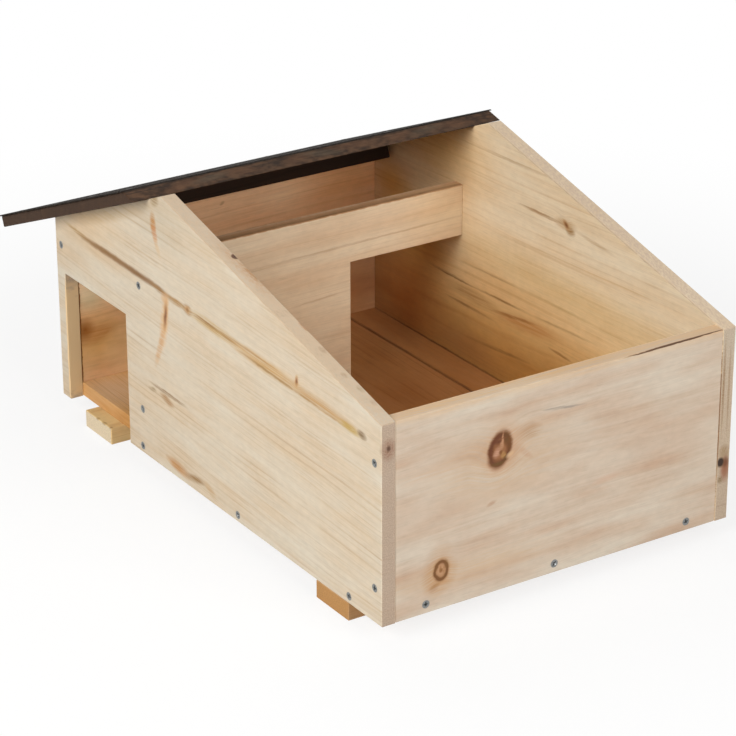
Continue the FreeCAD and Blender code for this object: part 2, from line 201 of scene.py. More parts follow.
    shade = put(tree, "ShaderNodeMath", {0: shade.outputs[0], 1: shades["mottle"]}, operation="MULTIPLY")
    streaked = put(tree, "ShaderNodeVectorMath", {0: lined.outputs[2], "Scale": shade.outputs[0]},
                   operation="SCALE").outputs[0]
    # Tints: painted shade and the colour of bounced light round given places.
    for tint, place, half in shade_tints:
        fade = put(tree, "ShaderNodeMapRange", {"Value": away(wood, place, half), "To Min": 1.0,
                                                "To Max": 0.0}, interpolation_type="SMOOTHSTEP")
        streaked = put(tree, "ShaderNodeMix", {0: fade.outputs[0], 6: streaked, 7: linear(tint)},
                       data_type="RGBA", blend_type="MULTIPLY").outputs[2]

    # Where the grain is cut across, the open pores take the light and the wood is darker.
    grain = [float(order[0] == axis) for axis in "xyz"]
    facing = put(tree, "ShaderNodeVectorMath", {0: spot.outputs["Normal"], 1: grain}, operation="DOT_PRODUCT")
    turned = put(tree, "ShaderNodeMath", {0: facing.outputs["Value"]}, operation="ABSOLUTE")
    cut_end = put(tree, "ShaderNodeMapRange", {"Value": turned.outputs[0], "From Min": 0.75, "From Max": 0.95,
                                               "To Max": 0.85})
    end_grain = put(tree, "ShaderNodeVectorMath", {0: end[:3], "Scale": shades["pores"]}, operation="SCALE")
    colour = put(tree, "ShaderNodeMix", {0: cut_end.outputs[0], 6: streaked, 7: end_grain.outputs[0]},
                 data_type="RGBA").outputs[2]
    for ramp, fibrous in ramps:
        cover = ramp.outputs["Alpha"]
        if fibrous:
            cover = put(tree, "ShaderNodeMath", {0: cover, 1: shades["broken"]},
                        operation="MULTIPLY").outputs[0]
        colour = put(tree, "ShaderNodeMix", {0: cover, 6: colour, 7: ramp.outputs["Color"]},
                     data_type="RGBA").outputs[2]
    height = put(tree, "ShaderNodeMath", {0: patterns["fibre"].outputs[0], 1: latewood.outputs[0]},
                 operation="ADD")
    relief = put(tree, "ShaderNodeBump", {"Height": height.outputs[0], "Strength": 0.25,
                                          "Distance": 0.15 * MM})
    sheen = put(tree, "ShaderNodeMapRange", {"Value": patterns["fibre"].outputs[0], "To Min": 0.56,
                                             "To Max": 0.7})
    tree.links.new(colour, shader.inputs["Base Color"])
    tree.links.new(relief.outputs[0], shader.inputs["Normal"])
    tree.links.new(sheen.outputs[0], shader.inputs["Roughness"])
    shader.inputs["IOR"].default_value = 1.45
    shader.inputs["Specular IOR Level"].default_value = gloss
    return material


def dress(node, material):
    """Give a CAD node its finish in every slot."""
    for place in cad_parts[node].material_slots:
        place.material = material


golden = ("#CB9560", "#A26634", "#BC824A", "#C4915E")
amber = ("#D6A66A", "#AC7840", "#C9955A", "#DFA85E")
# Dark lines along the board joints and the right panel: painted shade in the gaps, with dust.
joint_shade_and_dust = soft("#5A3316", 0.65)
doorstep_marks = [
    # Worn pale wood just inside the entrance, and the edge of the board that shows below it.
    (soft("#DCBA96", 0.7), (472, -138), (48, 40), 0, 0),
    (soft("#BE8A4C", 0.95), (470, -157, 6), (60, 1.6, 14), 0, 0),
    (soft("#A8702E", 0.7), (418, -157, 6), (32, 1.6, 14), 0, 0)]
# Painted shade: the floor darker towards the back and right.
floor_shade_tint = ("#DCD0C6", (320, 70), (120, 130))
floor_boards = ("floor_board_left", "floor_board_middle", "floor_board_right")
for count, node in enumerate(floor_boards):
    low, high = [corner.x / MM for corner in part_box(node)]
    dark_edges = (low, high) if count else (high,)
    marks = [(joint_shade_and_dust, (260, edge), (900, 2.4), 0, 0) for edge in dark_edges]
    dress(node, pine(node + "_pine", "yxz", pith=(-60 + 90 * count, 30 + 12 * count), lean=(0.02, 0.01),
                     tones=golden if count else amber, marks=marks + doorstep_marks,
                     shade_tints=[floor_shade_tint], line=0.7))

# Feet: two flat softwood battens across the underside, with sawn ends that show at the left.
# The front one is warm yellow, partly painted shade from the panel above it.
# The rear one is paler, partly painted light below the entrance, with splinters broken out of its upper edge.
# Zinc-plated cross-recessed screws hold them.
foot_end = -169
chips = [(soft("#8C6838", 0.7), (foot_end, y, -0.5), (2, length, 1.8), 0, 0)
         for y, length in ((456, 3), (444, 5), (433, 2))]
# Tones darkened in part as painted shade from the panel above.
dress("front_foot", pine("front_foot_pine", "xyz", pith=(70, 60), lean=(0, 0),
                         tones=("#B99064", "#9A6C3E", "#B28654", "#A5763B")))
# Tones lightened in part as painted light below the entrance.
dress("rear_foot", pine("rear_foot_pine", "xyz", pith=(455, 60), lean=(0, 0),
                        tones=("#DEC38C", "#C0965F", "#D6B47E", "#D0C0A5"), marks=chips))


def zinc_plate():
    """Zinc-plated steel, dulled by handling: a grey metal with cloudy, satin reflections."""
    material, tree, shader, spot = blank("zinc_plated_steel")
    cloud_width = 1.6 * MM
    cloud = put(tree, "ShaderNodeTexNoise", {"Vector": spot.outputs["Object"], "Scale": 1 / cloud_width,
                                             "Detail": 3.0})
    tint = put(tree, "ShaderNodeMix", {0: cloud.outputs[0], 6: linear("#6C6D6C"), 7: linear("#9C9E9D")},
               data_type="RGBA")
    satin = put(tree, "ShaderNodeMapRange", {"Value": cloud.outputs[0], "To Min": 0.28, "To Max": 0.48})
    tree.links.new(tint.outputs[2], shader.inputs["Base Color"])
    tree.links.new(satin.outputs[0], shader.inputs["Roughness"])
    shader.inputs["Metallic"].default_value = 1.0
    return material


zinc = zinc_plate()
WELD = 0.001 * MM


def fasteners(node, driven):
    """The head's middle, the head's radius and the length of each solid in a group driven one way."""
    group = bmesh.new()
    group.from_mesh(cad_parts[node].data)
    bmesh.ops.remove_doubles(group, verts=group.verts, dist=WELD)
    rim_depth = 0.05 * MM
    found = []
    done = set()
    for seed in group.verts:
        if seed in done:
            continue
        island = [seed]
        done.add(seed)
        for vert in island:
            for edge in vert.link_edges:
                other = edge.other_vert(vert)
                if other not in done:
                    done.add(other)
                    island.append(other)
        depths = [vert.co.dot(driven) for vert in island]
        rim = [vert.co for vert, depth in zip(island, depths) if depth < min(depths) + rim_depth]
        middle = sum(rim, Vector()) / len(rim)
        found.append((middle, max((point - middle).length for point in rim), max(depths) - min(depths)))
    group.free()
    return found


def seat(mesh, before, middle, driven, spin=0):
    """Turn and move what the mesh has gained since before to a fastener's place, with its tip driven in."""
    added = [vert for vert in mesh.verts if vert not in before]
    aim = Vector((0, 0, -1)).rotation_difference(driven).to_matrix().to_4x4()
    place = Matrix.Translation(middle) @ aim @ Matrix.Rotation(spin, 4, "Z")
    bmesh.ops.transform(mesh, matrix=place, verts=added)


def add_piece(name, mesh, material, body, node):
    """Finish a piece that stands for a CAD node and rides on its body."""
    bmesh.ops.recalc_face_normals(mesh, faces=mesh.faces)
    data = bpy.data.meshes.new(name)
    mesh.to_mesh(data)
    mesh.free()
    data.materials.append(material)
    piece = bpy.data.objects.new(name, data)
    bpy.context.scene.collection.objects.link(piece)
    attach(piece, body)
    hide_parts(node)


def screws(node, driven, body):
    """Countersunk screws with a cross recess in the head, in place of a group of plain ones."""
    driven = Vector(driven)
    mesh = bmesh.new()
    for count, (middle, radius, length) in enumerate(fasteners(node, driven)):
        before = set(mesh.verts)
        rim = bmesh.ops.create_circle(mesh, segments=24, radius=radius)["verts"]
        rim_edges = list({edge for vert in rim for edge in vert.link_edges})
        arm, half_width = 0.62 * radius, 0.15 * radius
        cross = []
        for quarter in range(4):
            spin = Matrix.Rotation(quarter * math.pi / 2, 3, "Z")
            for x, y in ((half_width, -arm), (half_width, -half_width), (arm, -half_width)):
                cross.append(mesh.verts.new(spin @ Vector((x, y, 0))))
        cross_edges = [mesh.edges.new((cross[i - 1], cross[i])) for i in range(len(cross))]
        bmesh.ops.triangle_fill(mesh, use_beauty=True, edges=rim_edges + cross_edges)

        # Each step narrows the open edge to a share of itself, and takes it down by so many head radii.
        recess = ((0.55, 0.5),)
        cone_shank_tip = ((0.5, 0.5), (1.0, length / radius - 1.5), (0.25, 0.9))
        for edges, steps in ((cross_edges, recess), (rim_edges, cone_shank_tip)):
            for narrowing, drop in steps:
                made = bmesh.ops.extrude_edge_only(mesh, edges=edges)["geom"]
                edges = [item for item in made if isinstance(item, bmesh.types.BMEdge)]
                edges = [edge for edge in edges if len(edge.link_faces) == 1]
                verts = [item for item in made if isinstance(item, bmesh.types.BMVert)]
                bmesh.ops.scale(mesh, verts=verts, vec=(narrowing, narrowing, 1))
                bmesh.ops.translate(mesh, verts=verts, vec=(0, 0, -drop * radius))
            bmesh.ops.edgeloop_fill(mesh, edges=edges)
        each_stops_at = 0.9 * count
        seat(mesh, before, middle, driven, each_stops_at)
    add_piece(node + "_cross_head", mesh, zinc, body, node)


screws("front_foot_screws", (0, 0, 1), "house")
screws("rear_foot_screws", (0, 0, 1), "house")

# Front and rear walls: one board each, cut to fit between the side panels, grain across the house.
# The front wall is pinkish, with a large dark-rimmed knot, a small ringed one and a split along its top edge.
# Three screws go through each wall into the ends of the floor boards.
KNOT = ((0.0, "#906038", 1.0), (0.44, "#8A5832", 1.0), (0.6, "#76451F", 1.0), (0.76, "#5A2C06", 1.0),
        (0.9, "#62360E", 1.0), (1.04, "#8E6240", 0.7), (1.24, "#BC9676", 0.0))
RINGED_KNOT = ((0.0, "#7A4A20", 1.0), (0.13, "#8A5A30", 1.0), (0.28, "#B08660", 1.0),
               (0.54, "#A67A54", 1.0), (0.7, "#6E441A", 1.0), (0.88, "#6A4014", 1.0),
               (1.02, "#A67C54", 0.75), (1.3, "#C4A078", 0.0))
# A split: its dark line is the painted shade in the crack.
SPLIT_SHADE = ((0.0, "#4E3522", 1.0), (0.7, "#5E3E26", 1.0), (1.0, "#A98A66", 0.0))
pinkish = ("#C9BCAA", "#AE9278", "#BA9D84", "#A8917D")
front_marks = [
    # Warm bands that bend round the knots.
    (soft("#B89066", 0.42), (-58, 112), (75, 42), 0, 0),
    (soft("#BE9E82", 0.45), (-130, 119), (55, 9), 0, 0),
    (soft("#A88460", 0.6), (-33, 131), (14, 9), 0, 0),
    (soft("#BC9872", 0.45), (-88, 28), (100, 14), 0, 0),
    # The large knot: its halo, its dark rim with cracks, the pale wood inside, and a streak beside it.
    (soft("#B98C66", 0.65), (-58, 121), (28, 22), 75, 0),
    (KNOT, (-61, 122.4), (15.6, 10.8), 75.4, 7.0),
    (soft("#663A00", 0.85), (-52.8, 127.5), (10, 4.2), 98, 0),
    (soft("#5C2A00", 0.9), (-69.2, 123.5), (7.5, 3.8), 95, 0),
    (soft("#5A2800", 0.9), (-65.5, 131.6), (7, 3.4), 48, 0),
    (soft("#5E4010", 0.75), (-62.7, 111), (7, 3), 0, 0),
    (soft("#5E2E0C", 0.85), (-62.2, 129.6), (7, 4.0), 62, 0),
    (soft("#5E380C", 0.85), (-55.2, 130.3), (8.5, 3.0), 95, 0),
    (soft("#B4866A", 0.9), (-63.5, 120.3), (6, 3.8), 60, 0),
    (soft("#AC7C58", 0.95), (-58.2, 130.8), (8.5, 1.2), 87, 0),
    (soft("#B08260", 0.85), (-59.3, 125.6), (4.4, 2.2), 80, 0),
    (soft("#A87E46", 0.8), (-57.4, 116.8), (3.2, 4), 0, 0),
    (soft("#6E3E08", 0.95), (-60.2, 119.9), (2.2, 2.4), 0, 0),
    (soft("#5A3A0C", 0.85), (-55.9, 114), (3, 2), 60, 0),
    (soft("#C6A27C", 1.0), (-51.2, 115.9), (5, 3.0), 25, 0),
    (soft("#B48B6C", 0.5), (-36, 113), (9, 3.5), -40, 0),
    # The small knot: its halo, its rings, and a stain below it.
    (soft("#B08A66", 0.55), (-119, 37), (25, 15), 70, 0),
    (soft("#B48858", 0.8), (-116, 29), (20, 17), 60, 0),
    (RINGED_KNOT, (-114.9, 33.5), (9.6, 7.4), 86, 4.0),
    (soft("#8E6030", 0.7), (-112.4, 33), (4.4, 1.7), 88, 0),
    (soft("#8E6030", 0.8), (-115.4, 34.6), (4, 1.4), 85, 0),
    (soft("#70481A", 0.85), (-110.2, 37.6), (6, 2.2), 98, 0),
    (soft("#70481A", 0.8), (-119.2, 36.8), (5, 2.0), 68, 0),
    (soft("#9C744C", 0.65), (-121, 20.5), (7, 4), 30, 0),
    # Short streaks on the open face.
    (soft("#A98468", 0.6), (-68.4, 78.1), (6, 2.4), 18, 0),
    (soft("#857D73", 0.85), (-1, 143), (24, 1.5), -6.5, 0),
    (soft("#C29A80", 0.5), (44, 70), (18, 4), 5, 0),
    # The planed top: its warm tone, a painted highlight along its inner edge, and the split along its outer
    # edge, whose dark line is painted shade.
    (soft("#D0AA7C", 0.85), (0, 171, 13), (700, 9, 20), 0, 0),
    (soft("#D6B48E", 0.6), (115, 171, 10), (80, 4, 16), 0, 0),
    (soft("#F2D6AC", 0.6), (0, 171, 13), (700, 1.2, 1.6), 0, 0),
    (SPLIT_SHADE, (111, 170.7, 0.3), (62, 0.9, 1.7), 0.4, 0)]
dress("front_wall", pine("front_wall_pine", "xzy", pith=(88, 45), lean=(0.03, 0), tones=pinkish,
                         marks=front_marks, ring=7.5, wander=14, line=0.34))
AMBER_STAIN = ((0.0, "#9A5A1C", 1.0), (0.45, "#A46628", 0.7), (1.0, "#B4783C", 0.0))
russet = ("#FFDCB2", "#D6A272", "#F6C698", "#C99D66")
rear_marks = [
    # The dark line at the joint beside the entrance, painted shade in the gap, and an amber stain that shows
    # through it.
    (solid("#8A5A2E"), (-157.2, 60), (1.6, 200), 0, 0),
    (soft("#B4702E", 0.6), (-143, 57), (30, 13), 6, 0),
    (AMBER_STAIN, (-152, 63), (12, 13), 0, 0),
    # A pin knot and a fine line that show above the partition, and pale wood low down.
    (soft("#8E5E38", 0.6), (-8.4, 153), (3.4, 2.0), 20, 0),
    (soft("#6A4020", 0.6), (10, 121), (60, 2), 1, 0),
    (soft("#FFE2AC", 0.45), (-112, 34), (26, 30), 0, 0)]
rear_shade_tints = [
    # Painted shade and the colour of bounced light: deeper yellow by the entrance, and darker towards the
    # nest.
    ("#E2CDA0", (-140, 50), (85, 60)),
    ("#E9FAFF", (-146, 92), (26, 22)),
    ("#D0B294", (115, 25), (150, 115)),
    ("#F0DCC4", (130, 150), (90, 60))]
dress("rear_wall", pine("rear_wall_pine", "xzy", pith=(40, 575), lean=(0.02, 0), tones=russet,
                        marks=rear_marks, shade_tints=rear_shade_tints))
screws("front_wall_screws", (0, 1, 0), "house")
screws("rear_wall_screws", (0, -1, 0), "house")

# Partition: one board that stands on the floor, with the inner doorway sawn out of its lower corner.
# It is pale and closely grained, and it is held by screws through both side panels.
partition_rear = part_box("partition")[1].y / MM - front / MM
blond = ("#E5D2B5", "#CAAC87", "#DDC1A0", "#D0AE82")
partition_marks = [
    # The sawn top, in painted shade from the roof: paler at the right and along the back, dark along the
    # front.
    (solid("#BE9068"), (0, 181.7), (600, 1.6), 0, 0),
    (soft("#D8B083", 0.8), (150, 181.7), (90, 1.6), 0, 0),
    (soft("#E6C09A", 0.8), (0, 181.7, partition_rear), (600, 1.6, 6), 0, 0),
    (soft("#8A6238", 0.8), (0, 181.7, partition_rear - 11), (600, 1.6, 5), 0, 0),
    # Two fine lines on the face.
    (soft("#B08A66", 0.5), (40, 150), (150, 1.3), 1, 0),
    (soft("#B08A66", 0.45), (5, 105.5), (40, 1.2), 3.5, 0)]
partition_shade_tints = [
    # Painted shade and colour cast: a little warmer at the right end of the top, a little darker on the left
    # of the face.
    ("#FFF9EE", (140, 165), (70, 50)),
    ("#F8F2EC", (-60, 105), (150, 90))]
dress("partition", pine("partition_pine", "xzy", pith=(40, 350), lean=(0.02, 0), tones=blond,
                        marks=partition_marks, shade_tints=partition_shade_tints, line=0.4))

# Side panels: solid boards with the grain from front to back, screwed to everything between them.
# The left one is sawn along the heart, a brown streak with branches; the right one is golden low down.
# The inner top edge of the left one is chipped.
FRONT_SLOPE = 13.62
REAR_SLOPE = 22.4
SPIKE = ((0.0, "#704526", 1.0), (0.3, "#8A5C34", 0.95), (0.65, "#B48A5A", 0.7), (1.0, "#C6A67A", 0.0))
# A chip whose dark hollow is painted shade.
CHIP_SHADE = ((0.0, "#3E2716", 1.0), (0.7, "#5B3A22", 1.0), (1.0, "#A98A66", 0.0))
cream = ("#C7BCA9", "#A58A6B", "#C3AE92", "#A8917D")
left_marks = [
    # The sawn front slope and its outer edge.
    (soft("#C8AF92", 0.8), (163, 210.5, -163.5), (400, 1.8, 20), FRONT_SLOPE, 0),
    (soft("#B39C82", 1.0), (163, 210.3, -170), (400, 0.9, 0.9), FRONT_SLOPE, 0),
    # The heart streak from the back to the front, with two spike knots.
    (soft("#A08050", 0.9), (474, 169.2), (32, 2.8), 5, 0),
    (soft("#7A5322", 1.0), (424, 167.5), (62, 3.9), 0.3, 0),
    (soft("#744C1C", 1.0), (368, 166.3), (52, 4.0), 0.6, 0),
    (soft("#8A6434", 0.9), (334, 164.6), (22, 3.6), 7, 0),
    (soft("#9A7440", 0.9), (306, 163.3), (26, 4.0), 0.6, 0),
    (soft("#8E6230", 0.85), (288, 162.7), (9, 6), 0, 0),
    (SPIKE, (288.5, 163), (5, 3.6), 0, 2.0),
    (soft("#AE8C54", 0.95), (248, 161.8), (52, 6.4), 1.2, 0),
    (soft("#8A6436", 0.85), (258, 162.2), (32, 1.8), 1, 0),
    (soft("#8A6436", 0.85), (222, 160.6), (18, 2.2), 4, 0),
    (soft("#B48E58", 0.98), (168, 158), (72, 7.6), 2.2, 0),
    (soft("#9A7642", 0.7), (190, 161.8), (48, 1.3), 2.2, 0),
    (soft("#8E6A36", 0.9), (160, 154.4), (56, 1.6), 2.4, 0),
    (SPIKE, (119.5, 162), (7, 3.2), 100, 3.0),
    (soft("#B08A58", 0.98), (84, 155.4), (62, 6.2), 2.2, 0),
    (soft("#9C7846", 0.85), (90, 152.2), (48, 1.5), 2.2, 0),
    (soft("#A88838", 0.8), (44, 151.8), (20, 4.4), 3, 0),
    (soft("#6A4C22", 0.98), (26.6, 152.4), (8, 3.8), 8, 0),
    # Branch traces below the streak and above it, and painted shadow under the roof.
    (soft("#C89A68", 0.7), (328, 138), (34, 8), -78, 0),
    (SPIKE, (325.8, 144), (20, 4.6), -80, 0),
    (soft("#C08E58", 0.6), (326, 160), (9, 6), 0, 0),
    # Painted shadow of the roof along the rear slope and at the peak, and a darker band below the front
    # slope.
    (soft("#A88A5C", 0.5), (410, 209), (85, 9), -REAR_SLOPE, 0),
    (soft("#8A7048", 0.8), (339, 243), (9, 7), -REAR_SLOPE, 0),
    (soft("#BCA27E", 0.35), (258, 224), (45, 9), FRONT_SLOPE, 0),
    (soft("#B98A58", 0.7), (337, 112), (26, 5), -67, 0),
    (soft("#A87434", 0.92), (342.2, 221), (12, 6), 88, 0),
    (soft("#B47C50", 0.9), (340, 212), (11, 5.2), 76, 0),
    (soft("#C4A47C", 0.55), (336.5, 202), (12, 4.2), 62, 0),
    # Streaks low on the face.
    (soft("#7E5E34", 0.95), (326, 72.8), (38, 2.3), 0.4, 0),
    (soft("#86704A", 0.9), (352.5, 67.6), (8, 2.6), -4, 0),
    (soft("#946A36", 0.95), (327.5, 66.7), (14, 4.4), 9, 0),
    (soft("#A87438", 0.95), (311, 10.6), (24, 6.4), 6, 0),
    (soft("#866230", 0.95), (283, 11), (20, 4.2), -8, 0),
    (soft("#B08A58", 0.7), (259, 11), (12, 5), 20, 0),
    # Wear on the front slope.
    (soft("#A08468", 0.6), (97, 194.5, -160), (6, 3, 3), 14, 0),
    (soft("#A08468", 0.55), (63, 186, -162), (5, 3, 3), 14, 0),
    (soft("#97805F", 0.55), (44, 181.7, -160), (6, 3, 3), 14, 0),
    (soft("#A88A74", 0.5), (26, 177.3, -160), (5, 3, 3), 14, 0),
    # The sawn post behind the entrance, painted pale as the light that falls on it.
    (solid("#D8BA8E"), (506.4, 55), (1.6, 68), 0, 0),
    # A pin knot in the front end.
    (soft("#8A654E", 0.9), (0, 149, -163.5), (5, 11, 8), 0, 0),
    (soft("#4E2F1D", 1.0), (0, 150, -163.5), (4, 3.4, 2.4), 0, 0),
    # Chips along the inner edge of the slope; the dark hollow of the last is painted shade.
    (soft("#B48C66", 0.5), (215, 223, -160), (60, 5, 7), FRONT_SLOPE, 0),
    (soft("#A67C52", 0.8), (206, 221, -157), (22, 6, 5), 14, 0),
    (soft("#A8744A", 0.8), (128, 202, -157), (9, 3, 3), 14, 0),
    (CHIP_SHADE, (230, 226.5, -157), (4.6, 4, 5), 14, 0)]
left_shade_tints = [
    # Painted shade under the roof: at the back and at the peak.
    ("#FFF1DF", (470, 190), (120, 65)),
    ("#F2F1EE", (332, 230), (70, 40))]
dress("left_side_panel", pine("left_side_pine", "yzx", pith=(150, -163.5), lean=(0.03, -0.03), tones=cream,
                              marks=left_marks, shade_tints=left_shade_tints, ring=3.8, wander=11, line=0.45))
END_KNOT = ((0.0, "#241000", 1.0), (0.6, "#2E1804", 1.0), (1.0, "#6A4828", 0.0))
straw = ("#E5D4B6", "#C6A67B", "#DEC6A2", "#AD9D8B")
right_marks = [
    # Late wood low on the inner face.
    (soft("#9A6A34", 0.55), (345, 80), (48, 8), 0, 0),
    (soft("#7A4E20", 0.85), (379, 88.6), (42, 1.8), 0, 0),
    (soft("#8E6230", 0.75), (304, 90.7), (50, 1.7), -2.3, 0),
    (soft("#A67C48", 0.6), (212, 95.3), (56, 1.8), -3.4, 0),
    (soft("#80562C", 0.65), (351, 67.2), (44, 1.9), 0, 0),
    (soft("#B87838", 0.6), (262, 80), (60, 9), -6, 0),
    (soft("#96602A", 0.85), (285, 81), (40, 2.2), -7.8, 0),
    (soft("#8A5A28", 0.9), (215, 70.4), (20, 1.8), 2.5, 0),
    (soft("#7A5026", 0.6), (308, 41.5), (56, 2.2), -5.1, 0),
    (soft("#B08A5C", 0.6), (320, 109.6), (66, 1.6), -2.9, 0),
    (soft("#B8935F", 0.6), (213, 113.6), (60, 1.7), -1.2, 0),
    # The dark line at the joint with the floor, painted shade in the corner.
    (soft("#5A3416", 0.9), (260, 12.5), (300, 2.0), 0, 0),
    # Fine lines higher up.
    (soft("#A57F52", 0.55), (292, 225.5), (86, 1.7), -1.9, 0),
    (soft("#AC8658", 0.25), (230, 155), (140, 1.7), -1.8, 0),
    # A spike knot, with a streak on each side.
    (soft("#B08A5A", 0.7), (212, 192.5), (18, 7), -3, 0),
    (soft("#96703E", 0.9), (205, 188), (8, 5), 0, 0),
    (SPIKE, (211, 192.3), (7, 4.2), 30, 4.0),
    (soft("#9A7145", 0.85), (246, 190.8), (40, 1.9), -1, 0),
    (soft("#A98352", 0.45), (170, 188.5), (34, 2.4), 5, 0),
    # The front end: a dark knot at its inner edge, and two open lines in the end grain.
    (soft("#8E7048", 0.8), (0, 61, 164), (6, 8, 7), 0, 0),
    (soft("#8A5638", 1.0), (0, 46, 165.5), (6, 14, 6), 0, 0),
    (soft("#6A3C20", 1.0), (0, 51.5, 165.5), (6, 6, 4.5), 0, 0),
    (soft("#7A6038", 0.9), (0, 36.5, 161), (6, 4, 3.4), 0, 0),
    (END_KNOT, (0, 52.5, 160.6), (6, 5.4, 4.4), 0, 0),
    (soft("#8E6C48", 0.9), (0, 120, 160), (3, 52, 1.5), 0, 0),
    (soft("#947250", 0.8), (0, 116, 165.5), (3, 46, 1.3), 0, 0),
    # The sawn front slope, and painted shade on its inner edge to damp the light the edge catches.
    (soft("#C6AF97", 0.9), (163, 210.5, 163.5), (400, 1.8, 20), FRONT_SLOPE, 0),
    (soft("#B8A084", 1.0), (163, 210.3, 157), (400, 0.9, 0.9), FRONT_SLOPE, 0),
    # The joint with the front wall, a dark line of painted shade in the gap, pale at its foot.
    (solid("#8E6A48"), (0, 85, 157), (1.0, 92, 0.9), 0, 0),
    (soft("#D2BCA0", 0.98), (0, 16, 157), (1.4, 50, 1.4), 0, 0)]
right_shade_tints = [
    # Painted shade and the colour of bounced light: golden low down, darker under the roof and towards the
    # back.
    ("#FFD67E", (264, 20), (900, 170)),
    ("#D0C6D8", (264, 10), (900, 100)),
    ("#FFF0C0", (440, 110), (75, 70)),
    ("#F6F3E6", (215, 128), (330, 34)),
    ("#EEE6EC", (355, 28), (80, 24)),
    ("#EBDCC6", (415, 105), (45, 30)),
    ("#F7D8A3", (480, 150), (55, 40)),
    ("#FFE0AE", (405, 212), (130, 75)),
    ("#FFEAD6", (450, 45), (80, 60))]
dress("right_side_panel", pine("right_side_pine", "yzx", pith=(60, 190), lean=(-0.035, 0), tones=straw,
                               marks=right_marks, shade_tints=right_shade_tints, ring=4.5, wander=10, line=0.45))
screws("left_side_screws", (1, 0, 0), "house")
screws("right_side_screws", (-1, 0, 0), "house")

# Rear roof: a softwood board with a dark brown stain and a bevelled ridge edge, loose on the panels.
# The cleat below drops in against the rear wall's inner face and keeps the board in place.
# Three screws hold the cleat.
stain = ("#38291D", "#21170F", "#4E3726", "#3E2D21")
brown_patches = ((-133, 356, 20, 14), (-78, 357, 26, -10), (-22, 356, 22, 12), (40, 358, 30, -6),
                 (82, 356, 18, 10), (140, 357, 24, -8))
grey_patches = ((-105, 8), (5, -12), (112, 9))
roof_marks = [(soft("#60432F", 0.6), (x, y), (half, 7), turn, 0) for x, y, half, turn in brown_patches]
roof_marks += [(soft("#57493A", 0.6), (x, 357), (24, 6), turn, 0) for x, turn in grey_patches]
dress("roof_board", pine("roof_board_stain", "xyz", pith=(300, 200), lean=(0, 0), tones=stain,
                         marks=roof_marks, ring=3.0, wander=12, line=0.7, mottle=0.5, gloss=0.12))
# A darker stain than the board's, partly painted shade under the roof.
cleat_stain_and_shade = ("#2A1C13", "#1C120B", "#352418", "#2A1C13")
dress("roof_cleat", pine("roof_cleat_stain_and_shade", "xyz", pith=(300, 200), lean=(0, 0), tones=cleat_stain_and_shade,
                         ring=3.0, gloss=0.1))
felt_low, felt_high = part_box("roof_felt")
slope = math.atan2(felt_high.z - felt_low.z, felt_high.y - felt_low.y)
screws("cleat_screws", (0, math.sin(slope), math.cos(slope)), "roof")

# Felt: black roofing felt with a fine mineral grit, laid on the board and past it at the eave and sides.
# Black tacks with domed heads hold it along its edges.


def felt_grit():
    """Bitumen felt with mineral grit: dull near-black, with millimetre grains that catch the light."""
    material, tree, shader, spot = blank("mineral_roofing_felt")
    grain_width = 1.1 * MM
    worn_width = 60 * MM
    grains = put(tree, "ShaderNodeTexVoronoi", {"Vector": spot.outputs["Object"], "Scale": 1 / grain_width})
    patch = put(tree, "ShaderNodeTexNoise", {"Vector": spot.outputs["Object"], "Scale": 1 / worn_width,
                                             "Detail": 4.0})
    grain_tone = put(tree, "ShaderNodeSeparateColor", {0: grains.outputs["Color"]})
    mixed = put(tree, "ShaderNodeMix", {0: grain_tone.outputs[0], 6: linear("#1B1613"), 7: linear("#352F2A")},
                data_type="RGBA")
    worn = put(tree, "ShaderNodeMapRange", {"Value": patch.outputs[0], "From Min": 0.3, "From Max": 0.7,
                                            "To Min": 0.85, "To Max": 1.2})
    colour = put(tree, "ShaderNodeVectorMath", {0: mixed.outputs[2], "Scale": worn.outputs[0]},
                 operation="SCALE")
    rise = put(tree, "ShaderNodeMath", {0: 1.0, 1: grains.outputs["Distance"]}, operation="SUBTRACT")
    relief = put(tree, "ShaderNodeBump", {"Height": rise.outputs[0], "Strength": 0.7, "Distance": 0.4 * MM})
    dull = put(tree, "ShaderNodeMapRange", {"Value": grain_tone.outputs[1], "To Min": 0.6, "To Max": 0.95})
    tree.links.new(colour.outputs[0], shader.inputs["Base Color"])
    tree.links.new(relief.outputs[0], shader.inputs["Normal"])
    tree.links.new(dull.outputs[0], shader.inputs["Roughness"])
    shader.inputs["Specular IOR Level"].default_value = 0.06
    return material


def black_steel():
    """Blackened steel: a dark oxide skin with a soft, uneven gleam."""
    material, tree, shader, spot = blank("blackened_steel")
    cloud_width = 2 * MM
    cloud = put(tree, "ShaderNodeTexNoise", {"Vector": spot.outputs["Object"], "Scale": 1 / cloud_width,
                                             "Detail": 2.0})
    tint = put(tree, "ShaderNodeMix", {0: cloud.outputs[0], 6: linear("#26221F"), 7: linear("#433D39")},
               data_type="RGBA")
    gleam = put(tree, "ShaderNodeMapRange", {"Value": cloud.outputs[0], "To Min": 0.4, "To Max": 0.62})
    tree.links.new(tint.outputs[2], shader.inputs["Base Color"])
    tree.links.new(gleam.outputs[0], shader.inputs["Roughness"])
    shader.inputs["Metallic"].default_value = 0.6
    shader.inputs["Specular IOR Level"].default_value = 0.2
    return material


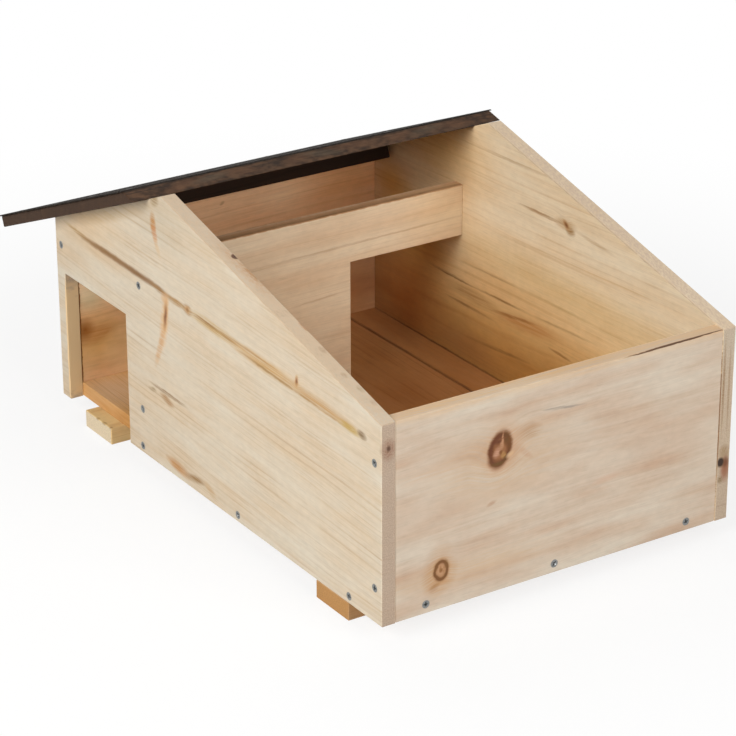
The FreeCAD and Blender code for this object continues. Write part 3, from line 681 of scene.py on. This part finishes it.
dress("roof_felt", felt_grit())
downward = Vector((0, -math.sin(slope), -math.cos(slope)))
mesh = bmesh.new()
for middle, radius, length in fasteners("felt_tacks", downward):
    # The outline from the top of the dome, under the head and down to the tip, in head radii across and up.
    outline = ((0, -0.12), (0.55, -0.14), (0.88, -0.18), (1.0, -0.24), (0.25, -0.26),
               (0.25, 1 - length / radius), (0, -length / radius))
    before = set(mesh.verts)
    points = [mesh.verts.new((across * radius, 0, up * radius)) for across, up in outline]
    profile = [mesh.edges.new(pair) for pair in zip(points, points[1:])]
    bmesh.ops.spin(mesh, geom=points + profile, axis=(0, 0, 1), cent=(0, 0, 0), steps=20, angle=2 * math.pi,
                   use_merge=True)
    seat(mesh, before, middle, downward)
bmesh.ops.remove_doubles(mesh, verts=mesh.verts, dist=WELD)
add_piece("felt_tacks_domed", mesh, black_steel(), "roof", "felt_tacks")

# Studio: matt white paper that runs on past the picture and keeps a soft shadow near the house.
# Around it is a white surround, which the eye, metal and glass see but which hardly lights the wood.
# Three large soft lights face the house, from the left, the front and the back.


def looked_at(tree):
    """1 for a ray straight from the eye or by way of metal or glass, and 0 for one that only brings light."""
    seen = put(tree, "ShaderNodeLightPath", {})
    mirrored = put(tree, "ShaderNodeMath", {0: seen.outputs["Is Camera Ray"],
                                            1: seen.outputs["Is Glossy Ray"]}, operation="ADD")
    return put(tree, "ShaderNodeMath", {0: mirrored.outputs[0], 1: seen.outputs["Is Transmission Ray"]},
               operation="ADD", use_clamp=True).outputs[0]


half_width, half_depth, middle_depth = 6, 8, 2
mesh = bmesh.new()
laid_out = Matrix.Translation((0, middle_depth, 0)) @ Matrix.Diagonal((half_width, half_depth, 1, 1))
bmesh.ops.create_grid(mesh, x_segments=1, y_segments=1, size=1, matrix=laid_out)
data = bpy.data.meshes.new("studio_floor")
mesh.to_mesh(data)
mesh.free()
ground = bpy.data.objects.new("studio_floor", data)
bpy.context.scene.collection.objects.link(ground)
paper, tree, shader, spot = blank("studio_paper")
shader.inputs["Base Color"].default_value = linear("#F4F4F2")
shader.inputs["Roughness"].default_value = 0.9
white = put(tree, "ShaderNodeEmission", {"Color": (1, 1, 1, 1), "Strength": 1.0})
reach = put(tree, "ShaderNodeVectorMath", {0: spot.outputs["Object"]}, operation="LENGTH")
share = put(tree, "ShaderNodeMapRange", {"Value": reach.outputs["Value"], "From Min": 0.3, "From Max": 0.9,
                                         "To Min": 0.8, "To Max": 1.0}, interpolation_type="SMOOTHSTEP")
part = put(tree, "ShaderNodeMath", {0: looked_at(tree), 1: share.outputs[0]}, operation="MULTIPLY")
mixed = put(tree, "ShaderNodeMixShader", {0: part.outputs[0], 1: shader.outputs[0], 2: white.outputs[0]})
tree.links.new(mixed.outputs[0], tree.nodes["Material Output"].inputs[0])
ground.data.materials.append(paper)

world = bpy.data.worlds.new("studio_surround")
bpy.context.scene.world = world
world.use_nodes = True
tree = world.node_tree
strength = put(tree, "ShaderNodeMapRange", {"Value": looked_at(tree), "To Min": 0.04, "To Max": 1.0})
tree.nodes["Background"].inputs["Color"].default_value = (1, 1, 1, 1)
tree.links.new(strength.outputs[0], tree.nodes["Background"].inputs["Strength"])

house_middle = Vector((0, 0, 0.1))


def lamp(name, place, size, power):
    """A square soft light that faces the house, with its place and size in metres and its power in watts."""
    light = bpy.data.lights.new(name, "AREA")
    light.shape = "SQUARE"
    light.size = size
    light.energy = power
    holder = bpy.data.objects.new(name, light)
    holder.location = place
    holder.rotation_euler = (house_middle - Vector(place)).to_track_quat("-Z", "Y").to_euler()
    bpy.context.scene.collection.objects.link(holder)


lamp("left_softbox", place=(-2.48, -0.665, 1.64), size=1.8, power=82)
lamp("front_softbox", place=(0.28, -2.63, 1.51), size=1.8, power=50)
lamp("rear_softbox", place=(0.33, 1.9, 2.4), size=2.4, power=24)

# Camera: the photo's viewing angle and frame, fitted to the edges of the boards.
# The eye's place is in metres and its angles are in degrees; the focal length is in pixels of the frame.
FRAME_PX = 736
FOCAL_PX = 2987.7
SENSOR = 36
eye = Vector((-1.2763, front - 1.6802, bottom + 1.1112))
turn, rise, roll = [math.radians(angle) for angle in (-33.084, 23.948, -0.167)]
camera = bpy.data.cameras.new("photo_camera")
camera.sensor_width = SENSOR
camera.lens = SENSOR * FOCAL_PX / FRAME_PX
camera.clip_end = 30
back = Vector((math.sin(turn) * math.cos(rise), -math.cos(turn) * math.cos(rise), math.sin(rise)))
right = Vector((0, 0, 1)).cross(back).normalized()
up = back.cross(right)
axes = Matrix((right * math.cos(roll) + up * math.sin(roll),
               up * math.cos(roll) - right * math.sin(roll),
               back))
holder = bpy.data.objects.new("photo_camera", camera)
holder.matrix_world = Matrix.Translation(eye) @ axes.transposed().to_4x4()
bpy.context.scene.collection.objects.link(holder)
bpy.context.scene.camera = holder
bpy.context.scene.view_settings.view_transform = "Standard"
